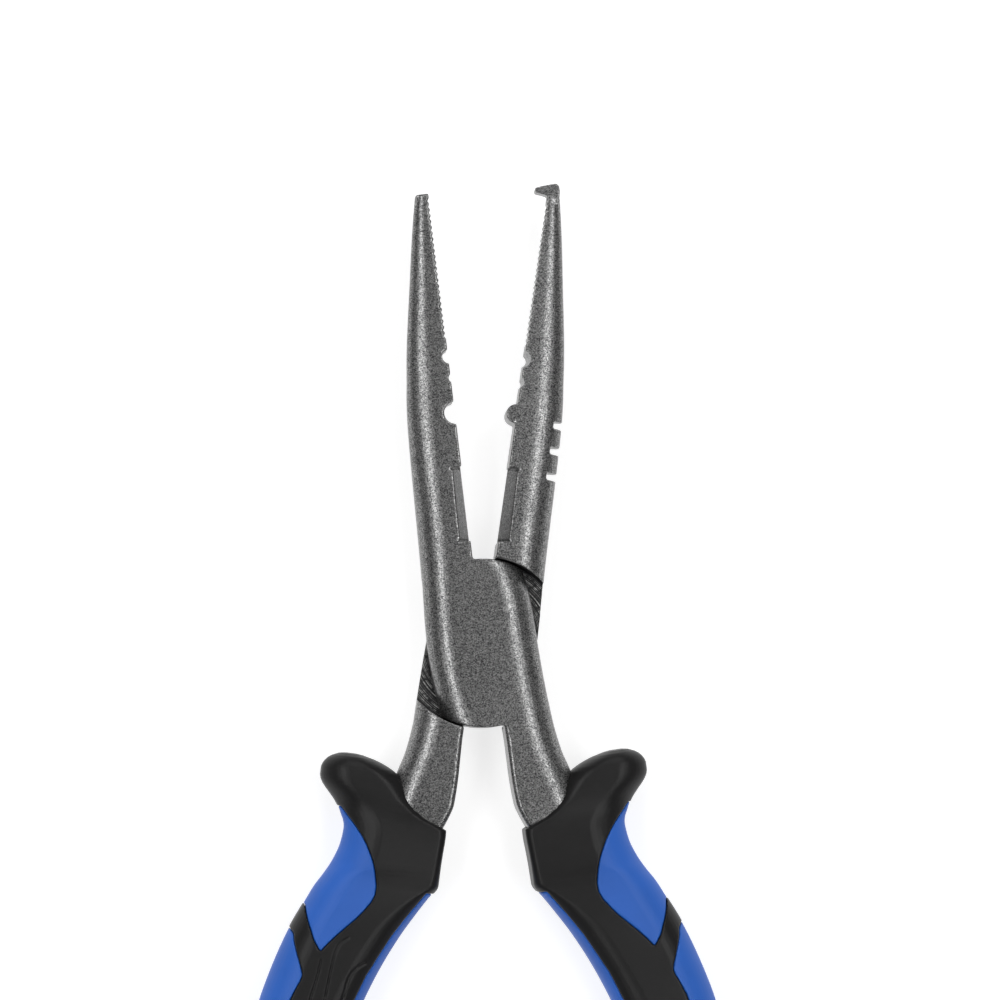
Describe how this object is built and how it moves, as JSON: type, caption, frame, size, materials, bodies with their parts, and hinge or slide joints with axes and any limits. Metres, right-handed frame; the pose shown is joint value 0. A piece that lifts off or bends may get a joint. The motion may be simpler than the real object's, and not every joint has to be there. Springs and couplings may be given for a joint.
{
  "type": "fishing pliers",
  "caption": "Long-nose fishing pliers with a hooked tip, serrated jaws, crimping notches, side cutter, lapped pivot joint and two-material grips with thumb guards.",
  "frame": {"origin": "on the pivot axis, at the flat back face of the lapped joint, over the lower half's plate", "axes": "+Z along the pivot axis, from the back face to the front face; +Y toward the jaw tips, along the line midway between the jaws; +X toward the hooked jaw; the pliers lie flat"},
  "size_m": [0.1044, 0.2267, 0.0152],
  "materials": {
    "hammertone": "speckled dark grey hammertone paint on forged steel, satin",
    "rivet_steel": "steel rivet, ground flush and painted with the joint",
    "blue_core": "hard blue plastic, fine matte texture",
    "black_cover": "soft black grip rubber, matte"
  },
  "bodies": {
    "lower_half": {"lower_half": "hammertone", "left_grip_core": "blue_core", "left_grip_cover": "black_cover"},
    "upper_half": {"upper_half": "hammertone", "pivot_rivet": "rivet_steel", "right_grip_core": "blue_core", "right_grip_cover": "black_cover"}
  },
  "joints": [
    {"name": "jaw_pivot", "type": "hinge", "parent": "lower_half", "child": "upper_half", "pos_m": [0, 0, 0.0055], "axis": [0, 0, 1], "range_deg": [-15, 30]}
  ]
}
